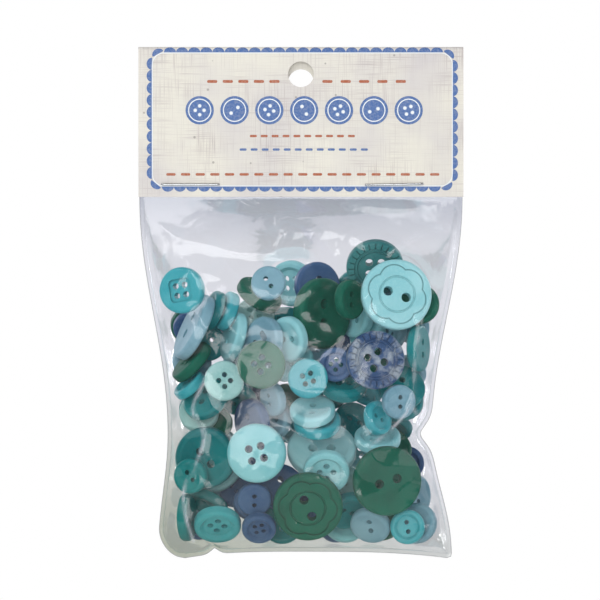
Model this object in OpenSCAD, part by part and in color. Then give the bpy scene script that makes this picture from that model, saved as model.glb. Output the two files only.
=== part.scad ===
// A clear bag of loose sewing buttons, closed by a folded and stapled header card.
// Millimetres. Seen from the front, x runs right, z runs up and y runs away from the viewer.
// The origin is at the front leaf's hang hole, on the plane where the bag's two films meet.

/* [Header card] */
// Width of the folded card
card_w = 70; // [66:0.5:74]
// Height of the folded card, from its fold to its free edges
card_h = 32.3; // [31:0.1:34]
// Thickness of the card stock
card_t = 0.35; // [0.25:0.05:0.45]
// Outer radius of the fold along the top
fold_r = 0.95; // [0.85:0.05:1.1]
// Diameter of the punched hang hole
hole_d = 5.5; // [4:0.1:6.2]
// From the top of the fold down to the front leaf's hole
hole_drop = 5.9; // [5.5:0.1:6.5]
// How much lower the back leaf's hole came out, the card being folded a little askew
hole_slip = 1.65; // [0:0.05:1.8]

/* [Staples] */
// Thickness of the staple wire
wire_d = 0.5; // [0.4:0.05:0.6]
// Outside width of a staple's crown
crown_w = 12.7; // [11:0.1:14]
// Length of each clenched leg behind the card
clench_l = 4.6; // [3:0.1:5]
// Height of the staples above the card's free edges
staple_rise = 2.7; // [2:0.1:4]
// Centre of the left staple
left_staple_x = -23.8; // [-26:0.1:-20]
// Centre of the right staple
right_staple_x = 20.1; // [18:0.1:26]
// Tilt of the right staple, in degrees
right_staple_tilt = 1.2; // [-3:0.1:3]

/* [Bag] */
// Thickness of the clear film
film_t = 0.1; // [0.08:0.01:0.14]
// Flat width of the bag, at its mouth
bag_w = 69.6; // [66:0.2:70]
// How far the bag's mouth reaches up between the card's leaves
mouth_reach = 20; // [16:0.5:20.5]
// Length of the bag below the card
bag_drop = 76.4; // [74:0.2:79]
// Width of the welded hem at the sides and the bottom
hem_w = 0.8; // [0.5:0.1:1.2]
// Half width at the waist, on the left
left_waist = 28.7; // [27:0.1:30]
// Half width at the waist, on the right
right_waist = 28.2; // [27:0.1:30]
// How far below the card the waist is
waist_drop = 51; // [46:0.5:56]
// Half width at the bottom, on the left
left_corner = 30.8; // [29:0.1:32]
// Half width at the bottom, on the right
right_corner = 32.5; // [30:0.1:34]
// How far the right edge is nipped in at the waist
nip = 2.4; // [0:0.1:3]
// How far the pile pushes the front film out
front_bulge = 7; // [6:0.1:8]

/* [Buttons] */
// Room between a button and what it rests on
room = 0.12; // [0.08:0.01:0.2]
// Room between a button and the bag's seams
seam_room = 0.7; // [0.6:0.05:1]
// Diameter of the sewing holes, as a share of the button's diameter
hole_share = 0.135; // [0.11:0.005:0.15]
// Distance between the holes of a two-hole button, as a share of its diameter
pair_share = 0.27; // [0.25:0.005:0.31]
// Side of the square of four holes, as a share of the button's diameter
square_share = 0.21; // [0.2:0.005:0.24]
// Depth of engraved lines
groove_h = 0.25; // [0.15:0.05:0.35]

/* [Hidden] */
$fn = 48;
// Colours of the moulded buttons
aqua = "#86d3d8";
pale = "#a9dcd8";
turquoise = "#3fb0b8";
teal = "#0d8585";
sea = "#2f8080";
dusty = "#86b2c2";
navy = "#3f5b86";
green = "#1f6a52";
// Each kind of button: name, style, diameter, thickness, number of holes, colour
KINDS = [
    ["aqua_flower", "flower", 15.3, 2.6, 2, aqua],
    ["green_flower", "flower", 15, 2.6, 2, green],
    ["green_plain", "plain", 15, 2.5, 2, green],
    ["green_large", "dished", 15.3, 3, 2, green],
    ["dusty_large", "plain", 15, 2.6, 2, dusty],
    ["aqua_large", "dished", 14.9, 2.8, 2, aqua],
    ["teal_large", "dished", 13.2, 3.2, 2, teal],
    ["aqua_domed", "domed", 12.7, 3, 4, aqua],
    ["sea_notched", "notched", 12.4, 2.6, 4, sea],
    ["navy_notched", "notched", 12.6, 2.6, 4, navy],
    ["teal_cup", "rimmed", 11.2, 3.2, 4, teal],
    ["aqua_medium", "plain", 10.7, 2.4, 2, aqua],
    ["dusty_slotted", "slotted", 10.6, 2.4, 2, dusty],
    ["green_medium", "domed", 10.4, 2.4, 4, green],
    ["navy_medium", "plain", 10.3, 2.4, 2, navy],
    ["turquoise_medium", "rimmed", 10.2, 2.6, 4, turquoise],
    ["teal_medium", "plain", 10.2, 2.2, 2, teal],
    ["aqua_rimmed", "rimmed", 10, 2.4, 4, aqua],
    ["turquoise_square", "square", 10, 2.5, 4, turquoise],
    ["aqua_two_hole", "dished", 9.8, 2.4, 2, aqua],
    ["teal_two_hole", "dished", 9, 2.4, 2, teal],
    ["dusty_medium", "dished", 8.8, 2.2, 2, dusty],
    ["green_small", "dished", 8.6, 2.2, 2, green],
    ["turquoise_four_hole", "domed", 8.6, 2.4, 4, turquoise],
    ["pale_four_hole", "domed", 8.6, 2.2, 4, pale],
    ["teal_small", "dished", 7.6, 2, 2, teal],
    ["turquoise_small", "rimmed", 7.5, 2.2, 2, turquoise],
    ["navy_four_hole", "rimmed", 7.4, 2.2, 4, navy],
    ["navy_small", "plain", 7.4, 2.2, 2, navy],
    ["dusty_small", "plain", 7.4, 2.2, 2, dusty],
];
// The buttons seen through the front film, from the nearest to the deepest: kind, x, z and turn about the
// button's own axis. Those wedged askew also have the lean of the face and the direction that it leans to
// (0 right, 90 up). The others come to lie flat on what is before them.
SEEN = [
    ["aqua_flower", 20.5, -47.5, 70],
    ["navy_notched", 16, -61.5, 30],
    ["green_plain", 18.5, -87.5, 107],
    ["aqua_domed", -9.5, -81.5, 15],
    ["green_flower", 1.5, -93, 25],
    ["turquoise_square", -27, -46.5, 10, 21, 180],
    ["dusty_small", -7, -45, 35],
    ["dusty_small", 21, -70.5, 0],
    ["turquoise_small", 16.5, -74, 60, 50, 15],
    ["aqua_rimmed", 16.5, -78.5, 0, 58, 90],
    ["green_small", 25, -80, 0, 52, 45],
    ["green_medium", -8.5, -62.5, 40],
    ["pale_four_hole", -16.5, -66, 45],
    ["dusty_large", -23, -54.5, 0, 77, 154],
    ["teal_two_hole", -19, -51, 0, 75, 158],
    ["turquoise_four_hole", -16, -51, 0, 73, 158],
    ["aqua_medium", -14.5, -56.5, 0, 72, 165],
    ["green_medium", -24, -62, 0, 76, 137],
    ["turquoise_small", -24, -67, 0, 74, 131],
    ["teal_small", -24, -86.5, 40],
    ["teal_large", -22, -84, 40],
    ["navy_four_hole", -9, -99, 15, 35, 270],
    ["turquoise_medium", -18, -98, 40, 48, 270],
    ["navy_small", -10, -91.5, 0],
    ["turquoise_small", 23, -97.5, 10],
    ["dusty_medium", 25, -99.5, 0],
    ["dusty_medium", 15, -99, 0, 40, 250],
    ["teal_two_hole", 10, -95.5, 70],
    ["aqua_two_hole", 9.5, -99, 0],
    ["aqua_rimmed", 5.5, -85.5, 45],
    ["turquoise_four_hole", 1.5, -65.5, 20],
    ["navy_four_hole", 7.5, -62.5, 40],
    ["teal_cup", 9, -66, 0, 45, 75],
    ["aqua_two_hole", 2.5, -72.5, 0, 54, 95],
    ["turquoise_medium", 3.5, -75, 0, 54, 90],
    ["aqua_large", 4.5, -81, 90, 42, 90],
    ["teal_two_hole", 11.5, -75, 60, 36, 60],
    ["dusty_slotted", -8, -57.5, 135],
    ["aqua_two_hole", -2.5, -57, 90, 45, 190],
    ["green_small", 10.5, -48.5, 0, 50, 0],
    ["green_large", 4.5, -51.5, 0, 44, 0],
    ["navy_medium", 3.5, -45.5, 0, 25, 10],
    ["sea_notched", 16, -41.5, 0],
    ["teal_medium", 26.5, -59, 0, 70, 0],
    ["teal_medium", -24.6, -95.5, 0, 76, 0],
    ["teal_two_hole", -20, -92.5, 0, 66, 240],
    ["navy_small", -22.8, -97.5, 0, 50, 250],
    ["green_medium", -9, -47.5, 0, 66, 58],
    ["dusty_medium", 26.5, -91, 0, 56, 0],
    ["green_medium", 17.5, -95.5, 0],
    ["aqua_rimmed", -2, -45, 0],
    ["aqua_two_hole", 10.5, -52, 40],
    ["aqua_rimmed", 13, -55.5, 20],
    ["green_small", 27, -49.5, 0],
    ["teal_medium", 25, -66, 0],
    ["teal_two_hole", 24.5, -70.5, 0],
    ["teal_medium", -20.5, -68.5, 0],
    ["pale_four_hole", -22, -73, 0],
    ["green_small", -19, -75.5, 0],
    ["navy_medium", -12, -75, 0],
    ["aqua_large", -20, -84.5, 0],
    ["navy_medium", -4.5, -87.5, 0],
    ["navy_small", -12.5, -92.5, 90],
    ["teal_two_hole", -4, -99, 0],
];
// How often a button is dropped behind those: first where one could see through the pile, and then in the
// thinnest place left. One that would come to lie deeper than this is left out.
hidden_tries = 75;
pile_depth = 19;
// Places tried for them: the sides and the ends of the pile, and the distance between them
pile_side = 24;
pile_top_z = -46;
pile_end_z = -98;
pile_step = 2;
// Every so many of the places are tried for the thinnest
thin_step = 5;
// Share of a button's radius round its middle where its holes let one see through
eye_share = 0.25;
// Turn from one hidden button to the next, so that no two lie alike
golden_angle = 137.5;
// The hidden ones are of the small kinds, listed last, taken in steps without a common divisor
small_kinds = 11;
kind_step = 4;
// A lying button tips until it rests evenly: how often, how boldly at first, and its steepest slope
tips = 20;
tip_step = 3;
tip_limit = 1.4;
// It also slides this far to where it lies lowest, if that gains more depth than a share of the way
slide = 1.5;
slide_cost = 0.8;
// Shares of a button's radius or thickness that shape its face: the rounding of its edges,
edge_share = 0.3;
// the hollow of a dished one,
dish_r = 0.78;
dish_h = 0.3;
// the well of a rimmed one, wider at its top,
well_top_r = 0.74;
well_r = 0.6;
well_h = 0.3;
// the dimple of a domed one,
dimple_r = 0.5;
dimple_h = 0.1;
// the sunk plate, the groove and the ticks of a notched one,
plate_top_r = 0.64;
plate_r = 0.6;
plate_h = 0.18;
groove_r = 0.7;
tick_r = 0.74;
tick_l = 0.2;
// the ring, and the petals set round a circle, of a flower one,
ring_r = 0.5;
petals_r = 0.42;
petal_r = 0.42;
// and the side and the corners of a square recess
recess_side = 1;
recess_r = 0.2;
// Number of petals and of ticks, and the width of engraved lines
petals = 6;
ticks = 24;
line_w = 0.3;
// Facets of the ball that hollows a face
ball_facets = 180;
// A button's room to the seams is taken at its middle and at this share of its reach above and below
edge_look = 0.6;
// Points where a lying button may touch: round its rim, and on a circle at a share of its radius
rim_feet = 12;
inner_feet = 6;
inner_share = 0.55;
// Smallest lean, so that the sums below hold for a flat button
least_lean = 0.5;
// Play of the staple wire in its holes, and of the card on what it clasps
play = 0.04;
// Inside radius of the wire's bends
bend_r = 0.1;
// Slit between the films where the card presses them together
mouth_gap = 0.06;
// Share of the bag's length at which the front bulges most
belly = 0.55;
// Exponents of the bulge: how late and how roundly it falls off to the sides and the bottom, and how it
// starts below the card
side_late = 3;
side_round = 0.7;
end_late = 3;
end_round = 0.6;
top_round = 1.3;
// Radius of the bag's bottom corner on the left, and how far both corners sag
corner_r = 5;
corner_sag = 1.4;
// Exponents of that sag: how near the bottom and how far out it starts
sag_low = 8;
sag_out = 3;
// Length of the nip along the right edge
nip_l = 3;
// Columns and rows of the film's facets, and how closely they crowd towards the seams
film_cols = 26;
film_rows = 30;
crowding = 75;
// The back film drapes over each button: flat for a way past its rim, then falling at this slope
drape_flat = 2.4;
drape_slope = 0.7;
drape_room = 0.25;
// Points taken along a rim, where buttons meet one another and the films
rim_points = 24;
// A depth beyond any in the bag
far_off = 1000;
// Creases that round the fold
fold_steps = 16;
// Card left below the lower hole before the leaves start to narrow
hole_margin = 0.6;
// Cutters reach this far past the faces that they cut
over = 1;

fold_z = hole_drop - fold_r;
neck_z = -hole_slip - hole_d / 2 - hole_margin;
card_edge_z = hole_drop - card_h;
bag_end_z = card_edge_z - bag_drop + hem_w;
staple_z = card_edge_z + staple_rise;
leaf_in = mouth_gap / 2 + film_t + play;
leaf_out = leaf_in + card_t;
leg_x = (crown_w - wire_d) / 2;
crown_y = leaf_out + play + wire_d / 2;
bend_mid_r = bend_r + wire_d / 2;

function clamp(v, low, high) = max(low, min(high, v));
function mix(a, b, t) = a + (b - a) * t;
function ease(t) = (1 - cos(180 * clamp(t, 0, 1))) / 2;
function kind_of(name) = [for (k = KINDS) if (k[0] == name) k][0];

// Half widths of the bag at a height, to the outside of its hem
function waisted(z, waist, corner) =
    let (drop = card_edge_z - z)
    drop < waist_drop
        ? mix(bag_w / 2, waist, ease(drop / waist_drop))
        : mix(waist, corner, ease((drop - waist_drop) / (bag_drop - waist_drop)));
function left_edge(z) =
    let (t = clamp((bag_end_z + corner_r - z) / corner_r, 0, 1))
    waisted(z, left_waist, left_corner) - corner_r * (1 - sqrt(1 - t * t));
function right_edge(z) =
    let (t = (card_edge_z - z - waist_drop) / nip_l)
    waisted(z, right_waist, right_corner) - nip * exp(-t * t);

// Depth of the front film before the seam plane
function front_depth(x, z) =
    let (
        u = x < 0 ? -x / (left_edge(z) - hem_w) : x / (right_edge(z) - hem_w),
        s = (card_edge_z - z) / (card_edge_z - bag_end_z)
    )
    s <= 0 || s >= 1 || u >= 1
        ? 0
        : front_bulge * pow(1 - pow(u, side_late), side_round) * pow(sin(90 * min(1, s / belly)), top_round)
            * pow(1 - pow(max(0, (s - belly) / (1 - belly)), end_late), end_round);

// A button in the pile: kind, x, z, lean, direction, turn, radius, thickness, facing, depth, back rim.
// Depth runs away from the viewer.
function posed(kind, x, z, lean, toward, turn) =
    let (
        k = kind_of(kind),
        r = k[2] / 2,
        h = k[3],
        n = [-sin(lean) * cos(toward), cos(lean), -sin(lean) * sin(toward)],
        reach_x = r * sqrt(1 - n[0] * n[0]) + h / 2 * abs(n[0]) + hem_w + seam_room,
        reach_z = r * sqrt(1 - n[2] * n[2]) + h / 2 * abs(n[2]),
        at_z = max(z, bag_end_z + reach_z + seam_room),
        heights = [for (side = [-1, 0, 1]) at_z + side * edge_look * reach_z],
        left = min([for (v = heights) left_edge(v)]) - reach_x,
        right = min([for (v = heights) right_edge(v)]) - reach_x
    )
    [kind, clamp(x, -left, right), at_z, lean, toward, turn, r, h, n];

function rim(b, side) =
    let (
        down_slope = [cos(b[4]) * cos(b[3]), sin(b[3]), sin(b[4]) * cos(b[3])],
        across = [-sin(b[4]), 0, cos(b[4])],
        middle = b[8] * side * b[7] / 2
    )
    [for (i = [0 : rim_points - 1])
        let (a = 360 * i / rim_points)
        middle + b[6] * (down_slope * cos(a) + across * sin(a))];

// Where a line straight away from the viewer enters and leaves a button, relative to its centre
function crossing(b, dx, dz) =
    let (
        n = b[8],
        h = b[7] / 2,
        a = dx * n[0] + dz * n[2],
        tilt = 1 - n[1] * n[1],
        root = a * a * n[1] * n[1] - tilt * (dx * dx + dz * dz - a * a - b[6] * b[6])
    )
    root < 0 ? [far_off, -far_off] :
    let (
        near = max((-h - a) / n[1], (a * n[1] - sqrt(root)) / tilt),
        far = min((h - a) / n[1], (a * n[1] + sqrt(root)) / tilt)
    )
    near > far ? [far_off, -far_off] : [near, far];

function close_by(x, z, reach, pile) =
    [for (o = pile) if (norm([o[1] - x, o[2] - z]) < reach + o[6] + o[7] / 2) o];

// Depth at which a button just clears one that lies before it
function resting_on(b, front_rim, o) =
    max(concat(
        [for (p = front_rim) o[9] + crossing(o, b[1] + p[0] - o[1], b[2] + p[2] - o[2])[1] - p[1]],
        [for (p = o[10]) o[9] + p[1] - crossing(b, o[1] + p[0] - b[1], o[2] + p[2] - b[2])[0]]
    ));

// Gives a posed button its depth on the front film and on the buttons already there
function settled(b, near) =
    let (
        front_rim = rim(b, -1),
        on_film = max([for (p = front_rim) -front_depth(b[1] + p[0], b[2] + p[2]) - p[1]]),
        on_pile = [for (o = near) resting_on(b, front_rim, o)]
    )
    concat(b, [max(concat([on_film], on_pile)) + room, rim(b, 1)]);

function deepest(b) = b[9] + max([for (p = b[10]) p[1]]);

// Depth of what lies at a place, and the slope at which a button of radius r rests evenly on it
function filled(x, z, near) =
    max(concat([-front_depth(x, z)], [for (o = near) o[9] + crossing(o, x - o[1], z - o[2])[1]]));
FEET = concat(
    [[0, 0]],
    [for (i = [0 : rim_feet - 1]) let (a = 360 * i / rim_feet) [cos(a), sin(a)]],
    [for (i = [0 : inner_feet - 1]) let (a = 360 * i / inner_feet) inner_share * [cos(a), sin(a)]]
);
function tipped(under, r, slope = [0, 0], n = 1, best = [far_off, [0, 0]]) =
    n > tips ? best[1] :
    let (
        rise = [for (i = [0 : len(FEET) - 1]) under[i] - r * slope * FEET[i]],
        most = max(rise),
        foot = FEET[search(most, rise)[0]],
        next = slope + tip_step / (n * r) * foot,
        steep = max(1, norm(next) / tip_limit)
    )
    tipped(under, r, next / steep, n + 1, most < best[0] ? [most, slope] : best);

function lying(kind, x, z, turn, pile) =
    let (
        r = kind_of(kind)[2] / 2,
        near = close_by(x, z, r + kind_of(kind)[3] / 2, pile),
        slope = tipped([for (f = FEET) filled(x + r * f[0], z + r * f[1], near)], r),
        lean = max(least_lean, atan(norm(slope)))
    )
    settled(posed(kind, x, z, lean, atan2(slope[1], slope[0]), turn), near);

// Tries a lying button where it falls and a little to each side, and keeps the shallowest
function dropped(row, pile) =
    let (
        ways = [[0, 0], [slide, 0], [-slide, 0], [0, slide], [0, -slide]],
        tries = [for (w = ways) lying(row[0], row[1] + w[0], row[2] + w[1], row[3], pile)],
        costs = [for (i = [0 : len(ways) - 1])
            deepest(tries[i]) + slide_cost * norm(ways[i])]
    )
    tries[search(min(costs), costs)[0]];

function wedged(row, pile) =
    let (b = posed(row[0], row[1], row[2], row[4], row[5], row[3]))
    settled(b, close_by(b[1], b[2], b[6] + b[7] / 2, pile));

// Lays the rows one by one
function laid(rows, i = 0, pile = []) =
    i == len(rows) ? pile :
    laid(rows, i + 1, concat(pile, [len(rows[i]) > 4 ? wedged(rows[i], pile) : dropped(rows[i], pile)]));

// Adds the hidden buttons
PLACES = [for (x = [-pile_side : pile_step : pile_side], z = [pile_end_z : pile_step : pile_top_z]) [x, z]];
function hides(b, p) =
    let (away = [p[0] - b[1], p[1] - b[2]])
    norm(away) > eye_share * b[6] && crossing(b, away[0], away[1])[0] < far_off;
function roofed(p, pile) = len([for (o = pile) if (o[2] > p[1] && abs(o[1] - p[0]) < o[6]) o]) > 0;
function open_places(pile) = [for (p = PLACES)
    if (roofed(p, pile) && len([for (o = pile) if (hides(o, p)) o]) == 0) p];
// The place from which a button of radius r closes most of the gaps
function widest(gaps, r) =
    let (closed = [for (p = gaps) len([for (q = gaps) if (norm(p - q) < r) q])])
    gaps[search(max(closed), closed)[0]];
function thickness(x, z, r, pile) =
    let (near = close_by(x, z, r, pile))
    max([for (i = [0 : rim_feet / 4 : rim_feet]) filled(x + r * FEET[i][0], z + r * FEET[i][1], near)]);
function thinnest(r, pile) =
    let (
        tried = [for (i = [0 : thin_step : len(PLACES) - 1]) if (roofed(PLACES[i], pile)) PLACES[i]],
        thick = [for (p = tried) thickness(p[0], p[1], r, pile)]
    )
    tried[search(min(thick), thick)[0]];
function topped_up(pile, gaps, n = 0) =
    n == hidden_tries ? pile :
    let (
        kind = KINDS[len(KINDS) - 1 - n * kind_step % small_kinds],
        place = len(gaps) > 0 ? widest(gaps, kind[2] / 2) : thinnest(kind[2] / 2, pile),
        b = dropped([kind[0], place[0], place[1], golden_angle * n % 360], pile),
        fits = deepest(b) < pile_depth
    )
    topped_up(fits ? concat(pile, [b]) : pile,
        [for (p = gaps) if (p != place && !(fits && hides(b, p))) p], n + 1);
SEEN_PILE = laid(SEEN);
PILE = topped_up(SEEN_PILE, open_places(SEEN_PILE));

// One sheet folded over the bag's mouth: two leaves, a rounded fold and the punched holes
module header_card() {
    color("#ece8de") difference() {
        rotate([90, 0, 90]) linear_extrude(card_w, center = true) difference() {
            clasp_profile(card_t, 0);
            clasp_profile(0, over);
        }
        rotate([90, 0, 0]) cylinder(d = hole_d, h = fold_r + over);
        translate([0, 0, -hole_slip]) rotate([-90, 0, 0]) cylinder(d = hole_d, h = fold_r + over);
        left_staple_place() leg_holes();
        right_staple_place() leg_holes();
    }
}

// Section that the card clasps, grown by the card's thickness: round at the fold, straight past the holes,
// narrowing to the staples and then straight down to the free edges
module clasp_profile(grow, below) {
    fold = fold_r - card_t + grow;
    leaf = leaf_in + grow;
    bottom = card_edge_z - below;
    polygon(concat(
        [for (i = [0 : fold_steps])
            let (a = 180 * i / fold_steps)
            [fold * cos(a), fold_z + fold * sin(a)]],
        [[-fold, neck_z], [-leaf, staple_z], [-leaf, bottom]],
        [[leaf, bottom], [leaf, staple_z], [fold, neck_z]]
    ));
}

module left_staple_place() {
    translate([left_staple_x, 0, staple_z]) children();
}

module right_staple_place() {
    translate([right_staple_x, 0, staple_z]) rotate([0, -right_staple_tilt, 0]) children();
}

module leg_holes() {
    for (side = [-1, 1])
        translate([side * leg_x, 0, 0]) rotate([90, 0, 0])
            cylinder(d = wire_d + 2 * play, h = 2 * (leaf_out + over), center = true);
}

module left_staple() {
    color("#9a9b9c") left_staple_place() staple();
}

module right_staple() {
    color("#9a9b9c") right_staple_place() staple();
}

// Round wire: a crown in front, two legs through card and film, their ends clenched inward behind
module staple() {
    straight = leg_x - bend_mid_r;
    translate([0, -crown_y, 0]) rotate([0, 90, 0])
        cylinder(d = wire_d, h = 2 * straight, center = true);
    for (side = [0, 1]) mirror([side, 0, 0]) {
        translate([straight, -crown_y + bend_mid_r, 0]) wire_bend(-90);
        translate([leg_x, 0, 0]) rotate([90, 0, 0])
            cylinder(d = wire_d, h = 2 * (crown_y - bend_mid_r), center = true);
        translate([straight, crown_y - bend_mid_r, 0]) wire_bend(0);
        translate([straight - clench_l, crown_y, 0]) rotate([0, 90, 0]) cylinder(d = wire_d, h = clench_l);
    }
}

module wire_bend(start) {
    rotate(start) rotate_extrude(angle = 90) translate([bend_mid_r, 0]) circle(d = wire_d);
}

// Depth of the back film at a place: it drapes over the back rims of the buttons
function back_depth(x, z) =
    max(concat([0], [for (b = PILE)
        if (norm([b[1] - x, b[2] - z]) < b[6] + drape_flat + (b[9] + b[6]) / drape_slope)
            b[9] + drape_room + max(concat(
                [crossing(b, x - b[1], z - b[2])[1]],
                [for (p = b[10])
                    let (away = norm([b[1] + p[0] - x, b[2] + p[2] - z]))
                    p[1] - drape_slope * max(0, away - drape_flat)]
            ))]));

// The film's facets: columns from the left seam to the right, rows from the mouth to the bottom
function crowded(t) = sin(crowding * t) / sin(crowding);
function row_z(j) = j == 0
    ? card_edge_z + mouth_reach
    : mix(card_edge_z, bag_end_z, crowded((j - 1) / (film_rows - 1)));
function col_x(j, i) =
    let (u = crowded(2 * i / film_cols - 1), z = row_z(j))
    u < 0 ? u * (left_edge(z) - hem_w) : u * (right_edge(z) - hem_w);
function sagged_z(j, i) =
    row_z(j) - corner_sag * pow(j / film_rows, sag_low) * pow(abs(crowded(2 * i / film_cols - 1)), sag_out);
function on_seam(j, i) = i == 0 || i == film_cols || j == film_rows;
function at(j, i) = j * (film_cols + 1) + i;

// One tube of film welded at its sides and bottom, open at the mouth between the card's leaves
module bag() {
    size = (film_rows + 1) * (film_cols + 1);
    cells = [for (j = [0 : film_rows], i = [0 : film_cols]) [j, i]];
    places = [for (c = cells) [col_x(c[0], c[1]), sagged_z(c[0], c[1])]];
    slit = mouth_gap / 2;
    front = [for (n = [0 : size - 1]) on_seam(cells[n][0], cells[n][1]) ? 0
        : max(slit, front_depth(places[n][0], places[n][1]))];
    back = [for (n = [0 : size - 1]) on_seam(cells[n][0], cells[n][1]) ? 0
        : cells[n][0] < 2 ? slit : max(slit, back_depth(places[n][0], places[n][1]))];
    // The seam from the mouth down the left side, along the bottom and up the right side
    seam = concat(
        [for (j = [0 : film_rows]) [j, 0]],
        [for (i = [1 : film_cols]) [film_rows, i]],
        [for (j = [film_rows - 1 : -1 : 0]) [j, film_cols]]
    );
    function seam_place(q) = places[at(seam[q][0], seam[q][1])];
    hem = [for (q = [0 : len(seam) - 1])
        let (along = seam_place(min(q + 1, len(seam) - 1)) - seam_place(max(q - 1, 0)))
        seam_place(q) + hem_w * [along[1], -along[0]] / norm(along)];
    outer_back = size;
    inner_front = 2 * size;
    inner_back = 3 * size;
    hem_front = 4 * size;
    hem_back = hem_front + len(seam);
    last = len(seam) - 1;
    points = concat(
        [for (n = [0 : size - 1]) [places[n][0], -front[n] - film_t, places[n][1]]],
        [for (n = [0 : size - 1]) [places[n][0], back[n] + film_t, places[n][1]]],
        [for (n = [0 : size - 1]) [places[n][0], -front[n], places[n][1]]],
        [for (n = [0 : size - 1]) [places[n][0], back[n], places[n][1]]],
        [for (h = hem) [h[0], -film_t, h[1]]],
        [for (h = hem) [h[0], film_t, h[1]]]
    );
    function pocket(n) = (on_seam(cells[n][0], cells[n][1]) ? inner_front : inner_back) + n;
    // Four points of a facet pair; the left corner's begin on the film, so its fold isn't from seam to seam
    function cell(j, i) = i == 0 && j == film_rows - 1
        ? [at(j, i + 1), at(j + 1, i + 1), at(j + 1, i), at(j, i)]
        : [at(j, i), at(j, i + 1), at(j + 1, i + 1), at(j + 1, i)];
    function seam_at(q) = at(seam[q][0], seam[q][1]);
    faces = concat(
        [for (j = [0 : film_rows - 1], i = [0 : film_cols - 1]) let (c = cell(j, i)) each concat(
            quad(c[0], c[1], c[2], c[3]),
            quad(outer_back + c[0], outer_back + c[3], outer_back + c[2], outer_back + c[1]),
            quad(inner_front + c[0], inner_front + c[3], inner_front + c[2], inner_front + c[1]),
            quad(pocket(c[0]), pocket(c[1]), pocket(c[2]), pocket(c[3])))],
        [for (i = [0 : film_cols - 1]) each concat(
            quad(at(0, i), inner_front + at(0, i), inner_front + at(0, i + 1), at(0, i + 1)),
            quad(pocket(at(0, i)), outer_back + at(0, i), outer_back + at(0, i + 1), pocket(at(0, i + 1))))],
        [for (q = [0 : last - 1]) each concat(
            quad(hem_front + q, seam_at(q), seam_at(q + 1), hem_front + q + 1),
            quad(hem_back + q, hem_back + q + 1, outer_back + seam_at(q + 1), outer_back + seam_at(q)),
            quad(hem_back + q, hem_front + q, hem_front + q + 1, hem_back + q + 1))],
        fan([pocket(at(0, 0)), at(0, 0), hem_front, hem_back, outer_back + at(0, 0)]),
        fan([pocket(at(0, film_cols)), outer_back + at(0, film_cols), hem_back + last, hem_front + last,
            at(0, film_cols)])
    );
    color("#d8dce4", 0.35) difference() {
        polyhedron(points, faces);
        left_staple_place() leg_holes();
        right_staple_place() leg_holes();
    }
}

function quad(a, b, c, d) = [[a, b, c], [a, c, d]];
function fan(ring) = [for (i = [1 : len(ring) - 2]) [ring[0], ring[i], ring[i + 1]]];

// All the buttons of one kind, each where it lies in the pile
module buttons(kind) {
    color(kind[5]) for (b = PILE) if (b[0] == kind[0]) {
        n = b[8];
        translate([b[1], b[9], b[2]]) rotate([0, acos(-n[2]), atan2(-n[1], -n[0])]) rotate(b[5])
            button(kind[1], kind[2], kind[3], kind[4]);
    }
}

// A moulded button about its own middle, its face towards +z
module button(style, d, h, holes) {
    difference() {
        rotate_extrude() difference() {
            blank_profile(d / 2, h);
            translate([0, h / 2]) face_profile(style, d / 2, h);
        }
        sewing_holes(style, d, h, holes);
        translate([0, 0, h / 2]) engraving(style, d / 2);
    }
}

// Half section with a flat back and rounded edges
module blank_profile(r, h) {
    edge = edge_share * h;
    translate([0, -h / 2]) square([r - edge, h]);
    translate([0, edge - h / 2]) square([r, h - 2 * edge]);
    for (side = [-1, 1]) intersection() {
        translate([r - edge, side * (h / 2 - edge)]) circle(edge);
        translate([0, -h / 2]) square([r, h]);
    }
}

// What the mould takes off the face, with y = 0 at the top of the rim
module face_profile(style, r, h) {
    if (style == "dished") hollow(dish_r * r, dish_h * h);
    if (style == "domed") hollow(dimple_r * r, dimple_h * h);
    if (style == "rimmed") well(well_top_r * r, well_r * r, well_h * h);
    if (style == "notched") {
        well(plate_top_r * r, plate_r * r, plate_h * h);
        translate([groove_r * r, 0]) circle(groove_h);
    }
    if (style == "flower") translate([ring_r * r, 0]) circle(groove_h);
}

// A round hollow of a given rim radius and depth
module hollow(r, depth) {
    ball = (r * r + depth * depth) / (2 * depth);
    intersection() {
        translate([0, ball - depth]) circle(ball, $fn = ball_facets);
        translate([0, -depth]) square([r, depth + over]);
    }
}

// A flat-bottomed hollow with a sloping wall
module well(top_r, bottom_r, depth) {
    polygon([[0, over], [top_r, over], [top_r, 0], [bottom_r, -depth], [0, -depth]]);
}

module sewing_holes(style, d, h, holes) {
    hole = hole_share * d;
    pair = pair_share * d;
    side = square_share * d;
    if (style == "slotted")
        for (at_x = [-pair / 2, pair / 2]) translate([at_x, 0, 0]) {
            cube([hole, hole, h + over], center = true);
            for (end = [-hole / 2, hole / 2])
                translate([0, end, 0]) cylinder(d = hole, h = h + over, center = true);
        }
    else if (holes == 2)
        for (at_x = [-pair / 2, pair / 2])
            translate([at_x, 0, 0]) cylinder(d = hole, h = h + over, center = true);
    else
        for (at_x = [-side / 2, side / 2], at_y = [-side / 2, side / 2])
            translate([at_x, at_y, 0]) cylinder(d = hole, h = h + over, center = true);
}

// Lines and sunk shapes cut into the face of a button of radius r, with z = 0 at the top of the rim
module engraving(style, r) {
    if (style == "flower") engraved(groove_h) difference() {
        flower(petals_r * r, petal_r * r + line_w / 2);
        flower(petals_r * r, petal_r * r - line_w / 2);
    }
    if (style == "notched") engraved(groove_h) for (i = [1 : ticks])
        rotate(360 * i / ticks) translate([tick_r * r, -line_w / 2]) square([tick_l * r, line_w]);
    if (style == "square") engraved(2 * groove_h) rounded_square(recess_side * r, recess_r * r);
}

module engraved(depth) {
    translate([0, 0, -depth]) linear_extrude(depth + over) children();
}

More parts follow.
